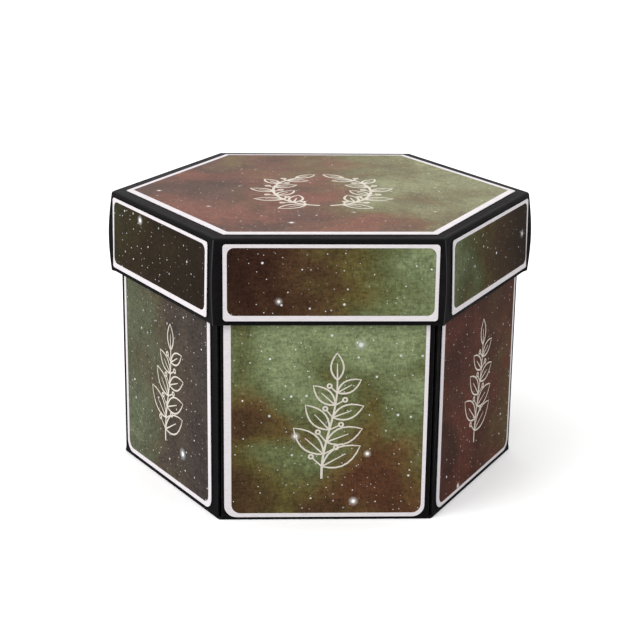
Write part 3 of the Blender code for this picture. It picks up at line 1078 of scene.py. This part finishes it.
lid = copy_of_node("lid_shell", "lid_board")
lid_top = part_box("lid_shell")[1].z - MERGE_DISTANCE
pick_parts(lid, lambda polygon: polygon.center.z > lid_top and polygon.normal.z > LEVEL)
for step, sink in ((CREASE_INSET, 0), (CREASE_WIDTH / 2, -CREASE_DEPTH), (CREASE_WIDTH / 2, CREASE_DEPTH)):
    bpy.ops.mesh.inset(thickness=step, depth=sink)
bpy.ops.object.mode_set(mode="OBJECT")
pick_only(lid)
bpy.ops.object.shade_smooth_by_angle(angle=LID_SMOOTH_ANGLE)
lid.data.materials[0] = board_material("lid_board", corner_highlight=LID_CORNER_HIGHLIGHT)
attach(lid, "lid")
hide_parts("lid_shell")


# Lid prints: the same art paper. Six low cards stand on the skirt, close to square at their
# corners, and a hexagon with sharp corners covers the top.
SKIRT_PRINT_CORNER = 0.0013
SKIRT_AREA_CORNER = 0.0029
SKIRT_BORDER = 0.0018
SKIRT_BORDER_SIDE = 0.0015
SKIRT_AREA_LIFT = 0.0004
SKIRT_AREA_SHIFT = {1: 0.0001, 2: 0.0002, 3: -0.0003, 4: 0.0002, 5: 0.0, 6: -0.0002}
SKIRT_GLUED_ASIDE = {1: 0.0008, 2: 0.0020, 3: -0.0002, 4: 0.0003, 5: -0.0003, 6: -0.0008}
SKIRT_CUT_WIDTH = {1: 1.004, 2: 0.968, 3: 0.994, 4: 1, 5: 0.990, 6: 1}
SKIRT_CUT_SLANT = {1: 0, 2: 0.0018, 3: 0.0002, 4: 0, 5: -0.0002, 6: -0.0013}
SLANT_PIVOT = 0.3
SKIRT_WASHES = {
    1: (10.31, (12.5, 1.0, 0), 0.45, 0.10, DARK_GREEN, 0.0),
    2: (12.47, (-16.0, 1.0, 0), 0.34, 0.10, NEAR_BLACK, 0.45),
    3: (14.03, (8.0, -2.0, 0), 0.50, 0.40, UMBER, 0.1),
    4: (15.59, (-7.0, 2.0, 0), 0.48, 0.30, UMBER, 0.0),
    5: (17.21, (9.0, 1.0, 0), 0.40, 0.35, SLATE, 0.2),
    6: (18.67, (-13.0, 1.0, 0), 0.17, 0.10, NEAR_BLACK, 0.84),
}
TOP_BORDER = 0.0025
TOP_AREA_BACK = 0.0010
TOP_GLUED_ASIDE = 0.0002
TOP_GLUED_BACK = -0.0005
TOP_GLUED_TURN = math.radians(0.4)
TOP_FLECKS = 0.65
TOP_GLOSS = 0.12
# The clay cast lifts the whole top paler: partly print colour, partly a painted sheen.
TOP_WASH = (26.35, (9.5, 1.5, 0), 0.45, 1.0, CLAY_AND_SHEEN, 0.18, TOP_FLECKS, TOP_GLOSS)

skirt_low, skirt_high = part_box("lid_side_print_1")
skirt_size = skirt_high - skirt_low
skirt_blank = bordered_card(
    "skirt_print_blank", skirt_size.x, skirt_size.z, SKIRT_PRINT_CORNER,
    skirt_size.x - 2 * SKIRT_BORDER_SIDE,
    -skirt_size.z / 2 + SKIRT_BORDER + SKIRT_AREA_LIFT, skirt_size.z / 2 - SKIRT_BORDER + SKIRT_AREA_LIFT,
    SKIRT_AREA_CORNER,
)
map_in_metres(skirt_blank)
for side in SIDES:
    wash = wash_material(f"skirt_wash_{side}", *SKIRT_WASHES[side])
    card = finish_card(
        skirt_blank, f"skirt_card_{side}", SKIRT_CUT_WIDTH[side],
        (SKIRT_AREA_SHIFT[side], 0), wash, skirt_size.y - INK_HEIGHT,
    )
    for vertex in card.data.vertices:
        vertex.co.x -= SKIRT_CUT_SLANT[side] * (vertex.co.y / skirt_size.z - SLANT_PIVOT)
    middle = (skirt_low.z + skirt_high.z) / 2
    stand_on_side(card, side, SKIRT_GLUED_ASIDE[side], -skirt_low.y - INK_HEIGHT, middle)
    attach(card, "lid")
    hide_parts(f"lid_side_print_{side}")
drop(skirt_blank)

top_low, top_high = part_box("lid_top_print")
top_place = Vector((TOP_GLUED_ASIDE, TOP_GLUED_BACK, top_high.z - INK_HEIGHT))
top_card = flat_hexagon("top_card", top_high.x, 0)
pick_parts(top_card, lambda polygon: True)
bpy.ops.mesh.inset(thickness=TOP_BORDER)
bpy.ops.object.mode_set(mode="OBJECT")
max(top_card.data.polygons, key=lambda polygon: polygon.area).material_index = 1
move_area(top_card, 0, TOP_AREA_BACK)
map_in_metres(top_card)
top_card.data.materials.append(border_paper)
top_card.data.materials.append(wash_material("top_wash", *TOP_WASH))
give_thickness(top_card, top_high.z - top_low.z - INK_HEIGHT)
top_card.location = top_place
top_card.rotation_euler.z = TOP_GLUED_TURN
settle(top_card)
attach(top_card, "lid")
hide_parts("lid_top_print")


# Ink wreath: two leafy branches in the same ivory ink, meeting at the front and open at the
# back, printed in the middle of the top.
WREATH_WIDTH = 0.0210
WREATH_DEPTH = 0.0270
WREATH_INK = 1.5
WREATH_START = math.radians(6)
WREATH_END = math.radians(150)
WREATH_LEAVES = 8
WREATH_LONG_LEAF = 0.0140
WREATH_SHORT_LEAF = 0.0095


def wreath_path(way):
    def path(share):
        angle = WREATH_START + (WREATH_END - WREATH_START) * share
        return Vector((way * WREATH_WIDTH * math.sin(angle), -WREATH_DEPTH * math.cos(angle)))
    return path


wreath_strokes = []
for way in (1, -1):
    wreath_strokes += ink_branch(
        wreath_path(way), WREATH_LEAVES, WREATH_LONG_LEAF, WREATH_SHORT_LEAF, way * SPRIG_SPREAD
    )
for stroke in wreath_strokes:
    stroke.data.bevel_depth *= WREATH_INK
wreath = press_flat(wreath_strokes, "top_wreath")
wreath.scale.z = 1 / WREATH_INK
wreath.location = top_place
wreath.rotation_euler.z = TOP_GLUED_TURN
settle(wreath)
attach(wreath, "lid")
